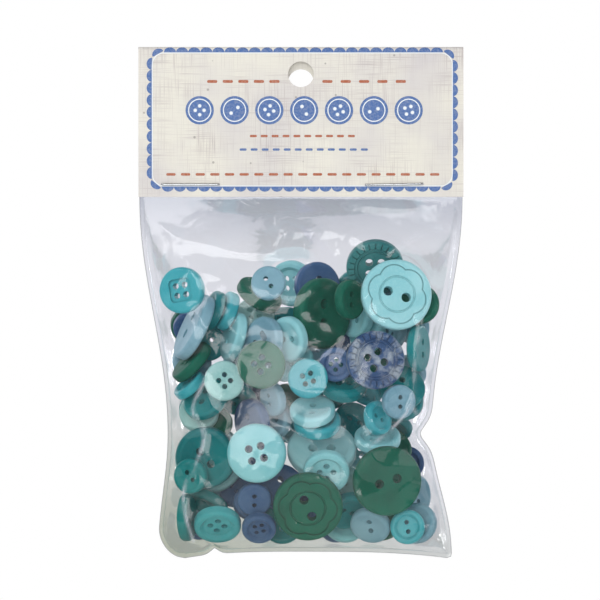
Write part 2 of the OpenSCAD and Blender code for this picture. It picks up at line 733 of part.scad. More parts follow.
module flower(middle_r, round_r) {
    circle(middle_r);
    for (i = [1 : petals]) rotate(360 * i / petals) translate([middle_r, 0]) circle(round_r);
}

module rounded_square(side, r) {
    square([side, side - 2 * r], center = true);
    square([side - 2 * r, side], center = true);
    for (x = [-1, 1], y = [-1, 1]) translate([x, y] * (side / 2 - r)) circle(r);
}

header_card();
left_staple();
right_staple();
bag();
for (k = KINDS) buttons(k);
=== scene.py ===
# A clear bag of loose sewing buttons under a folded, stapled header card, seen straight from the front.
import math

import bpy
import numpy as np
from mathutils import Matrix, Vector
from mathutils.bvhtree import BVHTree


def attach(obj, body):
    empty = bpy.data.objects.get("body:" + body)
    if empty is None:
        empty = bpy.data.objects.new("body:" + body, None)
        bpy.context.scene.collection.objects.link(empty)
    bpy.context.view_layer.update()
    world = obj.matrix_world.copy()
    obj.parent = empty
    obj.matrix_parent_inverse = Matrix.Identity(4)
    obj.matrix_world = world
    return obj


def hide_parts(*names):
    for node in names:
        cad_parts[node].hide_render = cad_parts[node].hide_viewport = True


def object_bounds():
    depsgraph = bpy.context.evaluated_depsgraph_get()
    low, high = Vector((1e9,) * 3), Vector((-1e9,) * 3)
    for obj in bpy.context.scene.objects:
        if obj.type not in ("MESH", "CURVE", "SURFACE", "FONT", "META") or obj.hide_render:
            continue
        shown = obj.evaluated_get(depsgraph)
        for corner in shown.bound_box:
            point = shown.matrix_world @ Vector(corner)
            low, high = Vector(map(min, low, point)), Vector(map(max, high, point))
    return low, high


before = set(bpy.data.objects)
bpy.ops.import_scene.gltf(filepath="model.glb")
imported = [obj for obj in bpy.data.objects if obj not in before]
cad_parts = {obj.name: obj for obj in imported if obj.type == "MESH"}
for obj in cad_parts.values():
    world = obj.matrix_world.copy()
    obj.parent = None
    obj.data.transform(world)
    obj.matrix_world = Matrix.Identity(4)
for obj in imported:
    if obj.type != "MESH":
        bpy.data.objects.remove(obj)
cad_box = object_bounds()
mm = 0.001
scene = bpy.context.scene
scene.view_settings.view_transform = "Standard"

# Camera, floor and light: a long lens straight on the front, a pale floor under the hanging bag, a white
# backdrop with a dimmer room before it, and soft lamps: three before the bag, one of them near the
# camera, whose reflection the film shows, and two behind it.
pixel = 0.2154 * mm
picture_w = 600
sensor_w = 36
camera_away = 2
camera_x, camera_z = -0.2 * mm, -48.6 * mm
bpy.ops.object.camera_add(location=(camera_x, -camera_away, camera_z), rotation=(math.pi / 2, 0, 0))
camera = bpy.context.object
camera.data.sensor_width = sensor_w
camera.data.lens = sensor_w * camera_away / (picture_w * pixel)
scene.camera = camera


def linear(code):
    # The linear colour of an sRGB hex value
    shares = [int(code[i : i + 2], 16) / 255 for i in (1, 3, 5)]
    return tuple(s / 12.92 if s <= 0.04045 else ((s + 0.055) / 1.055) ** 2.4 for s in shares) + (1,)


def node(tree, kind, inputs=None, **settings):
    # Adds a node with its settings; each input takes a value, or a link from another node's socket. A Map Range
    # reads the range in its inputs 1 and 2 and gives that in 3 and 4; a colour Mix has its colours in 6 and 7.
    made = tree.nodes.new(kind)
    for name, value in settings.items():
        setattr(made, name, value)
    for socket, value in (inputs or {}).items():
        if isinstance(value, bpy.types.NodeSocket):
            tree.links.new(value, made.inputs[socket])
        else:
            made.inputs[socket].default_value = value
    return made


# The white backdrop shows to the camera, in what shines and through what is clear. Gloss sees the room before
# the bag as dimmer, and all other surfaces are lit by an even, slightly cool ambient light.
studio = bpy.data.worlds.new("studio")
studio.use_nodes = True
tree = studio.node_tree
tree.nodes.clear()
rays = node(tree, "ShaderNodeLightPath").outputs
by_camera, in_gloss, through = rays["Is Camera Ray"], rays["Is Glossy Ray"], rays["Is Transmission Ray"]
seen = node(tree, "ShaderNodeMath", {0: by_camera, 1: in_gloss}, operation="MAXIMUM")
seen = node(tree, "ShaderNodeMath", {0: seen.outputs[0], 1: through}, operation="MAXIMUM")
heading = node(tree, "ShaderNodeSeparateXYZ", {0: node(tree, "ShaderNodeTexCoord").outputs["Generated"]})
room = node(tree, "ShaderNodeMapRange", {0: heading.outputs["Y"], 1: -0.1, 2: 0.7, 3: 0.16, 4: 1})
bright = node(tree, "ShaderNodeMath", {0: by_camera, 1: room.outputs[0]}, operation="MAXIMUM")
ambient = node(tree, "ShaderNodeBackground", {"Color": linear("#f3f5fa"), "Strength": 0.5})
white = node(tree, "ShaderNodeBackground", {"Color": (1, 1, 1, 1), "Strength": bright.outputs[0]})
backdrop = node(tree, "ShaderNodeMixShader", {0: seen.outputs[0], 1: ambient.outputs[0], 2: white.outputs[0]})
node(tree, "ShaderNodeOutputWorld", {0: backdrop.outputs[0]})
scene.world = studio

# Each lamp: its name, its place and width in metres, and its watts
lamps_aim = Vector((0, 0, -0.05))
for name, place, size, watts in (
    ("key_lamp", (-0.34, -0.5, 0.34), 0.3, 1),
    ("front_lamp", (-0.14, -1.1, 0.02), 0.56, 4.3),
    ("fill_lamp", (0.5, -0.45, 0.05), 0.3, 0.35),
    ("left_rear_lamp", (-0.75, 0.65, 0.25), 0.4, 3.6),
    ("right_rear_lamp", (0.75, 0.65, 0.25), 0.4, 3.6),
):
    bpy.ops.object.light_add(type="AREA", location=place)
    lamp = bpy.context.object
    lamp.name = name
    lamp.data.size = size
    lamp.data.energy = watts
    lamp.rotation_euler = (lamps_aim - Vector(place)).to_track_quat("-Z", "Y").to_euler()

floor_drop = 45 * mm
floor_w = 2
bpy.ops.mesh.primitive_plane_add(size=floor_w, location=(0, 0, cad_box[0][2] - floor_drop))
floor = bpy.context.object
floor.name = "floor"
bpy.ops.object.transform_apply()
# Matt painted board: pale all over, with no shine
pale = bpy.data.materials.new("pale_floor")
pale.use_nodes = True
shader = pale.node_tree.nodes["Principled BSDF"]
shader.inputs["Base Color"].default_value = linear("#f1f1ef")
shader.inputs["Roughness"].default_value = 0.9
floor.data.materials.append(pale)

# Header card: one strip of uncoated board, folded over the bag's mouth and stapled through it. It is printed
# all over with the look of natural linen, so fine threads cross it in patches.
thread_w, thread_l = 0.17 * mm, 9 * mm
patch_w = 11 * mm
cloud_w = 17 * mm
speck_gap = 5 * mm
# The board's fibres are drawn coarser than real ones, to show
fibre_w, fibre_h = 0.3 * mm, 0.05 * mm
cream, greyed = linear("#eae6da"), linear("#d8d3d1")
thread_tone, speck_tone = linear("#b5a8a6"), linear("#8d857f")
# Uncoated printed board is matt: cream that clouds over to grey, crossed by thin darker threads, with a grey
# speck here and there and a faint tooth of fibres.
linen = bpy.data.materials.new("linen_printed_board")
linen.use_nodes = True
tree = linen.node_tree
shader = tree.nodes["Principled BSDF"]
where = node(tree, "ShaderNodeTexCoord").outputs["Object"]
warp = node(tree, "ShaderNodeMapping", {"Vector": where, "Scale": (1 / thread_w, 0, 1 / thread_l)})
warp = node(tree, "ShaderNodeTexNoise", {"Vector": warp.outputs[0], "Scale": 1, "Detail": 1})
weft = node(tree, "ShaderNodeMapping", {"Vector": where, "Scale": (1 / thread_l, 0, 1 / thread_w)})
weft = node(tree, "ShaderNodeTexNoise", {"Vector": weft.outputs[0], "Scale": 1, "Detail": 1})
threads = node(tree, "ShaderNodeMath", {0: warp.outputs[0], 1: weft.outputs[0]}, operation="MAXIMUM")
threads = node(tree, "ShaderNodeMapRange", {0: threads.outputs[0], 1: 0.52, 2: 0.72, 3: 0, 4: 0.7})
patches = node(tree, "ShaderNodeTexNoise", {"Vector": where, "Scale": 1 / patch_w, "Detail": 2})
patches = node(tree, "ShaderNodeMapRange", {0: patches.outputs[0], 1: 0.38, 2: 0.66, 3: 0.2, 4: 1})
woven = node(tree, "ShaderNodeMath", {0: threads.outputs[0], 1: patches.outputs[0]}, operation="MULTIPLY")
clouds = node(tree, "ShaderNodeTexNoise", {"Vector": where, "Scale": 1 / cloud_w, "Detail": 3})
clouds = node(tree, "ShaderNodeMapRange", {0: clouds.outputs[0], 1: 0.4, 2: 0.72, 3: 0, 4: 1})
board = node(tree, "ShaderNodeMix", {0: clouds.outputs[0], 6: cream, 7: greyed}, data_type="RGBA")
board = {0: woven.outputs[0], 6: board.outputs[2], 7: thread_tone}
board = node(tree, "ShaderNodeMix", board, data_type="RGBA")
speck = node(tree, "ShaderNodeTexVoronoi", {"Vector": where, "Scale": 1 / speck_gap})
speck = node(tree, "ShaderNodeMapRange", {0: speck.outputs["Distance"], 1: 0.04, 2: 0.065, 3: 0.6, 4: 0})
board = {0: speck.outputs[0], 6: board.outputs[2], 7: speck_tone}
board = node(tree, "ShaderNodeMix", board, data_type="RGBA")
tree.links.new(board.outputs[2], shader.inputs["Base Color"])
fibres = node(tree, "ShaderNodeTexNoise", {"Vector": where, "Scale": 1 / fibre_w, "Detail": 3})
fibres = node(tree, "ShaderNodeBump", {"Height": fibres.outputs[0], "Strength": 0.12, "Distance": fibre_h})
tree.links.new(fibres.outputs[0], shader.inputs["Normal"])
shader.inputs["Roughness"].default_value = 0.8
shader.inputs["Specular IOR Level"].default_value = 0.3
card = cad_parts["header_card"]
card.data.materials.clear()
card.data.materials.append(linen)

# Scalloped border: blue half rounds printed side by side round a rounded frame, with a fine white line
# inside them. The ink lies on the board, so each shape follows the leaf up to the curve of the fold.
fold_r, fold_z = 0.95 * mm, 4.95 * mm
neck_z, staple_z = -5 * mm, -23.7 * mm
leaf_y = -0.52 * mm
ink_h = 0.03 * mm
# The ink's grain is drawn coarser than the real one, to show
ink_grain = 0.4 * mm
frame_left, frame_right = -32.1 * mm, 32.7 * mm
frame_top, frame_bottom = 4.7 * mm, -24.15 * mm
frame_r = 2.6 * mm
line_w = 0.2 * mm
scallops = 70
scallop_h = 1.12 * mm


def inked(name, code):
    # Matt printing ink: one colour, worn pale in fine grains where the board's tooth shows through it
    made = bpy.data.materials.new(name)
    made.use_nodes = True
    tree = made.node_tree
    shader = tree.nodes["Principled BSDF"]
    where = node(tree, "ShaderNodeTexCoord").outputs["Object"]
    grain = node(tree, "ShaderNodeTexNoise", {"Vector": where, "Scale": 1 / ink_grain, "Detail": 3})
    grain = node(tree, "ShaderNodeMapRange", {0: grain.outputs[0], 1: 0.4, 2: 0.8, 3: 0, 4: 0.22})
    ink = {0: grain.outputs[0], 6: linear(code), 7: linear("#e8e3d9")}
    ink = node(tree, "ShaderNodeMix", ink, data_type="RGBA")
    tree.links.new(ink.outputs[2], shader.inputs["Base Color"])
    shader.inputs["Roughness"].default_value = 0.75
    shader.inputs["Specular IOR Level"].default_value = 0.3
    return made


def laid_on_leaf(piece, lift):
    # Moves a flat print, drawn upright on the seam plane, on to the front leaf
    for corner in piece.data.vertices:
        z = corner.co.z
        if z > fold_z:
            y = -math.sqrt(max(0, fold_r**2 - (z - fold_z) ** 2))
        elif z > neck_z:
            y = -fold_r
        else:
            y = -fold_r + (leaf_y + fold_r) * min(1, (neck_z - z) / (neck_z - staple_z))
        corner.co.y = y - lift


def copied(piece, places):
    # One copy of a printed shape at each place (x, z, turn), all joined into the first
    shape = piece.data.copy()
    copies = []
    for x, z, turn in places:
        twin = piece.copy()
        twin.data = shape.copy()
        twin.data.transform(Matrix.Translation((x, 0, z)) @ Matrix.Rotation(turn, 4, "Y"))
        scene.collection.objects.link(twin)
        copies.append(twin)
    bpy.data.objects.remove(piece)
    bpy.ops.object.select_all(action="DESELECT")
    for twin in copies:
        twin.select_set(True)
    bpy.context.view_layer.objects.active = copies[0]
    bpy.ops.object.join()
    return bpy.context.object


def round_the_frame(share):
    # Place and outward turn at a share of the way round the frame, clockwise from its top left
    across = frame_right - frame_left - 2 * frame_r
    down = frame_top - frame_bottom - 2 * frame_r
    arc = frame_r * math.pi / 2
    way = share * 2 * (across + down + 2 * arc)
    corners = (
        (frame_left + frame_r, frame_top - frame_r, across, 0),
        (frame_right - frame_r, frame_top - frame_r, down, 90),
        (frame_right - frame_r, frame_bottom + frame_r, across, 180),
        (frame_left + frame_r, frame_bottom + frame_r, down, 270),
    )
    for x, z, length, turn in corners:
        heading = math.radians(turn)
        if way <= length:
            return (
                x + way * math.cos(heading) + frame_r * math.sin(heading),
                z - way * math.sin(heading) + frame_r * math.cos(heading),
                heading,
            )
        way -= length
        if way <= arc:
            bend = heading + way / frame_r
            x += length * math.cos(heading)
            z -= length * math.sin(heading)
            return x + frame_r * math.sin(bend), z + frame_r * math.cos(bend), bend
        way -= arc


blue_ink = inked("blue_ink", "#5474ac")
white_ink = inked("white_ink", "#f2f5f6")
rust_ink = inked("rust_ink", "#b4674a")

# The upper half of a disc, cut into small faces so that it can follow the fold
bpy.ops.object.select_all(action="DESELECT")
bpy.ops.mesh.primitive_circle_add(vertices=32, radius=1, fill_type="NGON", rotation=(math.pi / 2, 0, 0))
bpy.ops.object.transform_apply()
bpy.ops.object.mode_set(mode="EDIT")
bpy.ops.mesh.select_all(action="SELECT")
bpy.ops.mesh.bisect(plane_co=(0, 0, 0), plane_no=(0, 0, 1), clear_inner=True)
for cut in (0.2, 0.4, 0.6, 0.8):
    for across, way in (((0, 0, cut), (0, 0, 1)), ((cut, 0, 0), (1, 0, 0)), ((-cut, 0, 0), (1, 0, 0))):
        bpy.ops.mesh.select_all(action="SELECT")
        bpy.ops.mesh.bisect(plane_co=across, plane_no=way)
bpy.ops.mesh.select_all(action="SELECT")
bpy.ops.mesh.quads_convert_to_tris()
bpy.ops.object.mode_set(mode="OBJECT")
half_round = bpy.context.object
around = 2 * (frame_right - frame_left + frame_top - frame_bottom - 4 * frame_r) + 2 * math.pi * frame_r
half_round.data.transform(Matrix.Diagonal((0.5 * around / scallops, 1, scallop_h, 1)))
border = copied(half_round, [round_the_frame((i + 0.5) / scallops) for i in range(scallops)])
border.name = "scalloped_border"
border.data.materials.append(blue_ink)
laid_on_leaf(border, ink_h)
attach(border, "root")

# The white line: a rounded plane, inset and opened, and cut across where the leaf bends
bpy.ops.object.select_all(action="DESELECT")
bpy.ops.mesh.primitive_plane_add(size=1, rotation=(math.pi / 2, 0, 0))
white_line = bpy.context.object
white_line.name = "white_frame_line"
white_line.scale = (frame_right - frame_left, frame_top - frame_bottom, 1)
white_line.location = ((frame_left + frame_right) / 2, 0, (frame_top + frame_bottom) / 2)
bpy.ops.object.transform_apply()
bpy.ops.object.mode_set(mode="EDIT")
bpy.ops.mesh.select_all(action="SELECT")
bpy.ops.mesh.bevel(offset=frame_r, segments=10, affect="VERTICES")
bpy.ops.mesh.select_all(action="SELECT")
bpy.ops.mesh.inset(thickness=line_w)
bpy.ops.mesh.delete(type="FACE")
for cut in (fold_z - 0.5 * mm, fold_z - 1 * mm, fold_z - 1.6 * mm, neck_z, staple_z):
    bpy.ops.mesh.select_all(action="SELECT")
    bpy.ops.mesh.bisect(plane_co=(0, 0, cut), plane_no=(0, 0, 1))
bpy.ops.object.mode_set(mode="OBJECT")
white_line.data.materials.append(white_ink)
laid_on_leaf(white_line, ink_h)
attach(white_line, "root")

# Printed trimmings: a row of plain buttons drawn in blue, with running stitches in rust and blue above and
# below it. They are ink on the board, like the border.
icons = 7
icon_r, icon_step, icon_turn = 3.05 * mm, 7.5 * mm, 40
row_x, row_z = 0.7 * mm, -7.75 * mm
rim_w, ring_w = 0.55 * mm, 0.22 * mm
rim_inside = icon_r - 0.5 * mm
bpy.ops.object.select_all(action="DESELECT")
bpy.ops.mesh.primitive_circle_add(vertices=48, radius=icon_r, fill_type="NGON", rotation=(math.pi / 2, 0, 0))
bpy.ops.object.transform_apply()
drawn_button = bpy.context.object
drawn_button.data.materials.append(blue_ink)
drawn_button.data.materials.append(white_ink)
bpy.ops.object.mode_set(mode="EDIT")
bpy.ops.mesh.select_all(action="SELECT")
bpy.ops.mesh.inset(thickness=rim_w)
bpy.ops.mesh.inset(thickness=ring_w)
bpy.ops.object.mode_set(mode="OBJECT")
for face in drawn_button.data.polygons:
    # The faces of the ring have four corners, all inside the rim
    ends = [drawn_button.data.vertices[i].co for i in face.vertices]
    reach = max(Vector((end.x, end.z)).length for end in ends)
    face.material_index = 1 if len(ends) == 4 and reach < rim_inside else 0
row = [(row_x + (i - (icons - 1) / 2) * icon_step, row_z, math.radians(icon_turn * i)) for i in range(icons)]
drawn_buttons = copied(drawn_button, row)
drawn_buttons.name = "drawn_buttons"
laid_on_leaf(drawn_buttons, ink_h)
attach(drawn_buttons, "root")

# Their holes, four and two by turns, are printed over them: white discs with a pale blue rim
hole_r, hole_rim, hole_out = 0.45 * mm, 0.1 * mm, 0.95 * mm
hole_lift = 1.6 * ink_h
pale_ink = inked("pale_ink", "#9db2d6")
bpy.ops.object.select_all(action="DESELECT")
bpy.ops.mesh.primitive_circle_add(vertices=20, radius=hole_r, fill_type="NGON", rotation=(math.pi / 2, 0, 0))
bpy.ops.object.transform_apply()
drawn_hole = bpy.context.object
drawn_hole.data.materials.append(white_ink)
drawn_hole.data.materials.append(pale_ink)
bpy.ops.object.mode_set(mode="EDIT")
bpy.ops.mesh.select_all(action="SELECT")
bpy.ops.mesh.inset(thickness=hole_rim)
bpy.ops.object.mode_set(mode="OBJECT")
for face in drawn_hole.data.polygons:
    face.material_index = 1 if len(face.vertices) == 4 else 0
spots = []
for i, (x, z, turn) in enumerate(row):
    holes = 2 if i % 2 else 4
    for k in range(holes):
        a = turn + 2 * math.pi * k / holes
        spots.append((x + hole_out * math.cos(a), z + hole_out * math.sin(a), 0))
drawn_holes = copied(drawn_hole, spots)
drawn_holes.name = "drawn_holes"
laid_on_leaf(drawn_holes, hole_lift)
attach(drawn_holes, "root")

# Each row of stitches: its ink, a stitch's length and width, its height, and the spans that it fills, in
# millimetres. The pitch is a share of a stitch's length, and the rounding of its ends a share of its width.
pitch, rounding = 1.55, 0.45
for name, ink, length, width, z, spans in (
    ("upper_stitches", rust_ink, 2.2, 0.62, -1.55, ((-20.2, -4.6), (4.6, 22.6))),
    ("middle_stitches", rust_ink, 1.5, 0.5, -13.3, ((-11, 11.6),)),
    ("lower_stitches", blue_ink, 1.5, 0.5, -16.2, ((-13.2, 14.4),)),
    ("bottom_stitches", rust_ink, 2, 0.55, -21.55, ((-29, 29.8),)),
):
    bpy.ops.object.select_all(action="DESELECT")
    bpy.ops.mesh.primitive_plane_add(size=1, rotation=(math.pi / 2, 0, 0))
    stitch = bpy.context.object
    stitch.scale = (length * mm, width * mm, 1)
    bpy.ops.object.transform_apply()
    bpy.ops.object.mode_set(mode="EDIT")
    bpy.ops.mesh.select_all(action="SELECT")
    bpy.ops.mesh.bevel(offset=rounding * width * mm, segments=4, affect="VERTICES")
    bpy.ops.object.mode_set(mode="OBJECT")
    stitch.data.materials.append(ink)
    places = []
    for first, last in spans:
        count = round((last - first) / (pitch * length))
        step = (last - first - length) / max(1, count - 1)
        places += [((first + length / 2 + i * step) * mm, z * mm, 0) for i in range(count)]
    stitches = copied(stitch, places)
    stitches.name = name
    laid_on_leaf(stitches, ink_h)
    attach(stitches, "root")

# Staples: bright round steel wire driven through card and film and clenched behind. Drawing the wire leaves
# fine lengthwise scratches, drawn here coarser than real ones, to show.
scratch_l, scratch_w = 3 * mm, 0.08 * mm
# Drawn steel is bright and mirrors the room, in streaks along the wire, some darker and some duller.
steel = bpy.data.materials.new("drawn_steel_wire")
steel.use_nodes = True
tree = steel.node_tree
shader = tree.nodes["Principled BSDF"]
where = node(tree, "ShaderNodeTexCoord").outputs["Object"]
along_wire = (1 / scratch_l, 1 / scratch_w, 1 / scratch_w)
scratch = node(tree, "ShaderNodeMapping", {"Vector": where, "Scale": along_wire})
scratch = node(tree, "ShaderNodeTexNoise", {"Vector": scratch.outputs[0], "Scale": 1, "Detail": 2})
wire = {0: scratch.outputs[0], 6: linear("#a9abad"), 7: linear("#e4e5e6")}
wire = node(tree, "ShaderNodeMix", wire, data_type="RGBA")
tree.links.new(wire.outputs[2], shader.inputs["Base Color"])
dull = node(tree, "ShaderNodeMapRange", {0: scratch.outputs[0], 1: 0.3, 2: 0.7, 3: 0.16, 4: 0.28})
tree.links.new(dull.outputs[0], shader.inputs["Roughness"])
shader.inputs["Metallic"].default_value = 1
for name in ("left_staple", "right_staple"):
    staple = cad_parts[name]
    staple.data.materials.clear()
    staple.data.materials.append(steel)

# Buttons: small polyester and casein mouldings, dyed through and tumbled to a soft polish. Some kinds have
# tones of their own, paler or deeper than the rest, and the notched navy ones are mottled with pale resin. The
# aqua_large tones are painted lighter, to offset the shade that falls on those buttons deep in the pile. They
# lie loose in the bag.
dye_cloud = 7 * mm
mottle = 3.4 * mm
# How far the painted shade in grooves and holes reaches
groove_shade_reach = 0.7 * mm
# The tumbled grain is drawn coarser than the real one, to show
grain_w, grain_h = 0.45 * mm, 0.05 * mm
# Each dye: its deep and light tones and its roughness. A kind's own dye follows its colour's and replaces it.
dyes = {
    "aqua": ("#86ced3", "#a2dee1", 0.36),
    "pale": ("#98cdc8", "#b4ded9", 0.4),
    "turquoise": ("#36a5af", "#51b6be", 0.32),
    "teal": ("#0c7c80", "#1d9091", 0.32),
    "sea": ("#2c7474", "#498c8a", 0.38),
    "dusty": ("#74a2b2", "#8cb7c4", 0.4),
    "navy": ("#345884", "#527298", 0.42),
    "green": ("#035c48", "#0e6f58", 0.5),
    "navy_notched": ("#2f4f7a", "#48678f", 0.42),
    "aqua_domed": ("#7cc8cf", "#96d6dc", 0.36),
    "aqua_flower": ("#99dade", "#b4e8ea", 0.36),
    # aqua_large is painted lighter than aqua, to offset the shade on it in the pile
    "aqua_large": ("#9bdce0", "#b4e8ea", 0.36),
    "teal_large": ("#057378", "#128588", 0.32),
}
buttons = {name: piece for name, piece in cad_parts.items() if name.endswith("_buttons")}
for dye, (deep, light, polish) in dyes.items():
    # Tumbled plastic has a soft, slightly uneven shine, with faint clouds of dye and fine pale specks of
    # pigment. Its engraving and holes are painted darker, a painted shade where light hardly reaches into them.
    plastic = bpy.data.materials.new(dye + "_moulded_plastic")
    plastic.use_nodes = True
    tree = plastic.node_tree
    shader = tree.nodes["Principled BSDF"]
    where = node(tree, "ShaderNodeTexCoord").outputs["Object"]
    cloud = {"Vector": where, "Scale": 1 / dye_cloud, "Detail": 3, "Distortion": 0.6}
    cloud = node(tree, "ShaderNodeTexNoise", cloud)
    cloud = node(tree, "ShaderNodeMapRange", {0: cloud.outputs[0], 1: 0.35, 2: 0.7, 3: 0, 4: 1})
    colour = {0: cloud.outputs[0], 6: linear(deep), 7: linear(light)}
    colour = node(tree, "ShaderNodeMix", colour, data_type="RGBA")
    grain = node(tree, "ShaderNodeTexNoise", {"Vector": where, "Scale": 1 / grain_w, "Detail": 3})
    speck = node(tree, "ShaderNodeMapRange", {0: grain.outputs[0], 1: 0.46, 2: 0.72, 3: 0, 4: 0.45})
    colour = {0: speck.outputs[0], 6: colour.outputs[2], 7: linear(light)}
    colour = node(tree, "ShaderNodeMix", colour, data_type="RGBA")
    if dye == "navy_notched":
        resin = {"Vector": where, "Scale": 1 / mottle, "Detail": 6, "Roughness": 0.7}
        resin = node(tree, "ShaderNodeTexNoise", resin)
        resin = node(tree, "ShaderNodeMapRange", {0: resin.outputs[0], 1: 0.45, 2: 0.6, 3: 0, 4: 0.8})
        colour = {0: resin.outputs[0], 6: colour.outputs[2], 7: linear("#b4bfc4")}
        colour = node(tree, "ShaderNodeMix", colour, data_type="RGBA")
    # Painted shade: grooves, engraving and holes are darkened by their ambient occlusion
    painted_hollow_shade = node(tree, "ShaderNodeAmbientOcclusion", {"Distance": groove_shade_reach}, samples=8, only_local=True)
    painted_hollow_shade = node(tree, "ShaderNodeMapRange", {0: painted_hollow_shade.outputs["AO"], 1: 0.3, 2: 0.95, 3: 0.5, 4: 0})
    colour = {0: painted_hollow_shade.outputs[0], 6: colour.outputs[2], 7: linear("#5c6a6e")}
    colour = node(tree, "ShaderNodeMix", colour, data_type="RGBA", blend_type="MULTIPLY")
    tree.links.new(colour.outputs[2], shader.inputs["Base Color"])
    shine = {0: grain.outputs[0], 1: 0.3, 2: 0.7, 3: polish - 0.06, 4: polish + 0.1}
    shine = node(tree, "ShaderNodeMapRange", shine)
    tree.links.new(shine.outputs[0], shader.inputs["Roughness"])
    tumbled = {"Height": grain.outputs[0], "Strength": 0.06, "Distance": grain_h}
    tumbled = node(tree, "ShaderNodeBump", tumbled)
    tree.links.new(tumbled.outputs[0], shader.inputs["Normal"])
    shader.inputs["IOR"].default_value = 1.5
    shader.inputs["Specular IOR Level"].default_value = 0.2
    for name, piece in buttons.items():
        if name.startswith(dye):
            piece.data.materials.clear()
            piece.data.materials.append(plastic)

# Film bag: a flat polythene tube welded along both sides and the bottom, its open mouth clasped by the card.
# The film is drawn over the buttons where they press on it, hangs slack between them, and is creased where it
# is gathered under the card. Its sizes are in millimetres.
card_edge = -26.4
mouth_reach = 20
bag_drop = 76.4
hem_w = 0.8
bag_end = card_edge - bag_drop + hem_w
bag_w = 69.6
waist_drop = 51
left_waist, right_waist = 28.7, 28.2
left_corner, right_corner = 30.8, 32.5
corner_r, corner_sag = 5, 1.4
nip, nip_l = 2.4, 3
crowding = math.radians(75)
columns, rows, mouth_rows = 132, 150, 6


def eased(t):
    return (1 - np.cos(np.pi * np.clip(t, 0, 1))) / 2


def half_width(z, waist, corner):
    drop = card_edge - z
    upper = bag_w / 2 + (waist - bag_w / 2) * eased(drop / waist_drop)
    lower = waist + (corner - waist) * eased((drop - waist_drop) / (bag_drop - waist_drop))
    return np.where(drop < waist_drop, upper, lower)


def left_edge(z):
    # The left side ends in a rounded corner
    t = np.clip((bag_end + corner_r - z) / corner_r, 0, 1)
    return half_width(z, left_waist, left_corner) - corner_r * (1 - np.sqrt(1 - t * t))


def right_edge(z):
    # The right side is nipped in at the waist
    t = (card_edge - z - waist_drop) / nip_l
    return half_width(z, right_waist, right_corner) - nip * np.exp(-t * t)


# Where the film's points lie, seen from the front, inside the hem: columns crowd towards the sides, and rows
# towards the bottom
spread = np.sin(crowding * np.linspace(-1, 1, columns - 1)) / math.sin(crowding)
fall = np.sin(crowding * np.linspace(0, 1, rows - mouth_rows)) / math.sin(crowding)
heights = np.concatenate([
    np.linspace(card_edge + mouth_reach, card_edge, mouth_rows, endpoint=False),
    card_edge + (bag_end - card_edge) * fall,
])
drop_share = np.concatenate([np.zeros(mouth_rows), np.linspace(0, 1, rows - mouth_rows)])
# The corners sag, and the bottom edge is tucked up beside the left one. High powers keep both to the last rows.
sag_power, sag_side_power, tuck_power = 8, 3, 12
tuck_x, tuck_w, tuck_h = -23, 1.8, 1.3
sag = corner_sag * drop_share[:, None] ** sag_power * np.abs(spread[None, :]) ** sag_side_power
z_of = heights[:, None] - sag
across_end = spread * np.where(spread < 0, left_corner, right_corner)
tucked = np.exp(-(((across_end - tuck_x) / tuck_w) ** 2))[None, :]
z_of += tuck_h * drop_share[:, None] ** tuck_power * tucked
x_of = np.where(
    spread[None, :] < 0,
    spread[None, :] * (left_edge(heights)[:, None] - hem_w),
    spread[None, :] * (right_edge(heights)[:, None] - hem_w),
)


def struck(tree, x, z, side):
    # Depth at which a straight line from the front (side -1) or the back (side 1) strikes a surface
    far_off = 100 * mm
    found = np.full(x.shape, np.nan)
    for place in np.ndindex(x.shape):
        start = Vector((x[place] * mm, side * far_off, z[place] * mm))
        point = tree.ray_cast(start, Vector((0, -side, 0)))[0]
        if point is not None:
            found[place] = point.y / mm
    return found


def tree_of(pieces):
    # All the faces of some pieces, ready to be struck
    corners, faces = [], []
    for piece in pieces:
        first = len(corners)
        corners += [c.co.copy() for c in piece.data.vertices]
        faces += [[first + i for i in f.vertices] for f in piece.data.polygons]
    return BVHTree.FromPolygons(corners, faces)


def softened(depth):
    # Each point drawn half way to the mean of its neighbours; the edges stay
    mean = depth.copy()
    mean[1:-1, 1:-1] = (depth[:-2, 1:-1] + depth[2:, 1:-1] + depth[1:-1, :-2] + depth[1:-1, 2:]) / 4
    return (depth + mean) / 2


def least_near(depth):
    # Smallest of each point and its eight neighbours
    padded = np.pad(depth, 1, mode="edge")
    size = depth.shape
    return np.min([padded[i : i + size[0], j : j + size[1]] for i in range(3) for j in range(3)], axis=0)


film_tree = tree_of([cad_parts["bag"]])
pile_tree = tree_of(buttons.values())
slit = 0.13
clasped = z_of > card_edge
front_film = struck(film_tree, x_of, z_of, -1)
front_film = np.where(np.isnan(front_film) | clasped, -slit, front_film)
back_film = struck(film_tree, x_of, z_of, 1)
back_film = np.where(np.isnan(back_film) | clasped, slit, back_film)
pulls = 1500


def drawn_taut(film, pile):
    # A sheet held at the seams and the card, drawn tight over the pile; both count as depths from the seam
    stop = np.where(clasped, slit, np.maximum(pile, slit))
    for step in range(pulls):
        film = np.maximum(softened(film), stop)
        film[clasped] = slit
    return film


# Each sheet lies between its slack shape and the taut one, and keeps a small gap from the buttons
front_slack, back_slack = 0.35, 0.2
film_gap = 0.3
nothing_near = 100
pressed = struck(pile_tree, x_of, z_of, -1)
pressed = -least_near(np.where(np.isnan(pressed), nothing_near, pressed)) + film_gap
front_depth = front_slack * -front_film + (1 - front_slack) * drawn_taut(-front_film, pressed)
front_depth = -np.where(clasped, slit, np.maximum(front_depth, pressed))
leaned_on = struck(pile_tree, x_of, z_of, 1)
leaned_on = -least_near(-np.where(np.isnan(leaned_on), -nothing_near, leaned_on)) + film_gap
back_depth = back_slack * back_film + (1 - back_slack) * drawn_taut(back_film, leaned_on)
back_depth = np.where(clasped, slit, np.maximum(back_depth, leaned_on))

